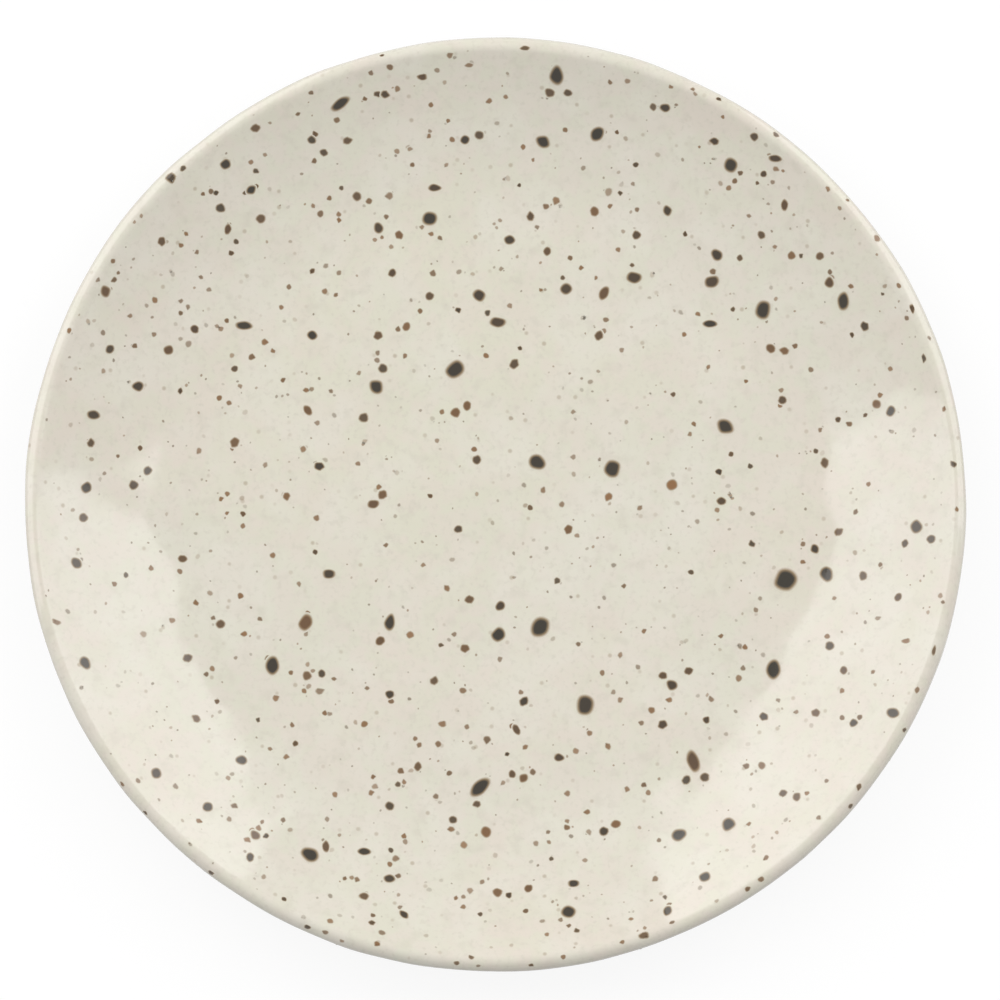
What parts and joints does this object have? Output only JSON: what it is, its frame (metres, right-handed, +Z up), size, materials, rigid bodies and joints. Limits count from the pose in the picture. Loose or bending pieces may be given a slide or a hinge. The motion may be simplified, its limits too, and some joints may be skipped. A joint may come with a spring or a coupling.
{
  "type": "coupe dinner plate",
  "caption": "Round coupe dinner plate: shallow well rising in one smooth curve to a rounded lip, turned foot ring, glossy cream glaze with iron specks.",
  "frame": {"origin": "on the table, under the centre of the plate", "axes": "+Z up out of the well; +X to the right and +Y away from the viewer as the plate is pictured"},
  "size_m": [0.27, 0.27, 0.026],
  "materials": {
    "stoneware": "bare fired stoneware, matt",
    "glaze": "glossy speckled cream glaze",
    "iron_speck": "glossy dark brown iron speck in the glaze"
  },
  "bodies": {
    "root": {"clay_body": "stoneware", "glaze_coat": "glaze", "base_glaze": "glaze", "large_specks": "iron_speck", "medium_specks": "iron_speck", "small_specks": "iron_speck"}
  },
  "joints": []
}
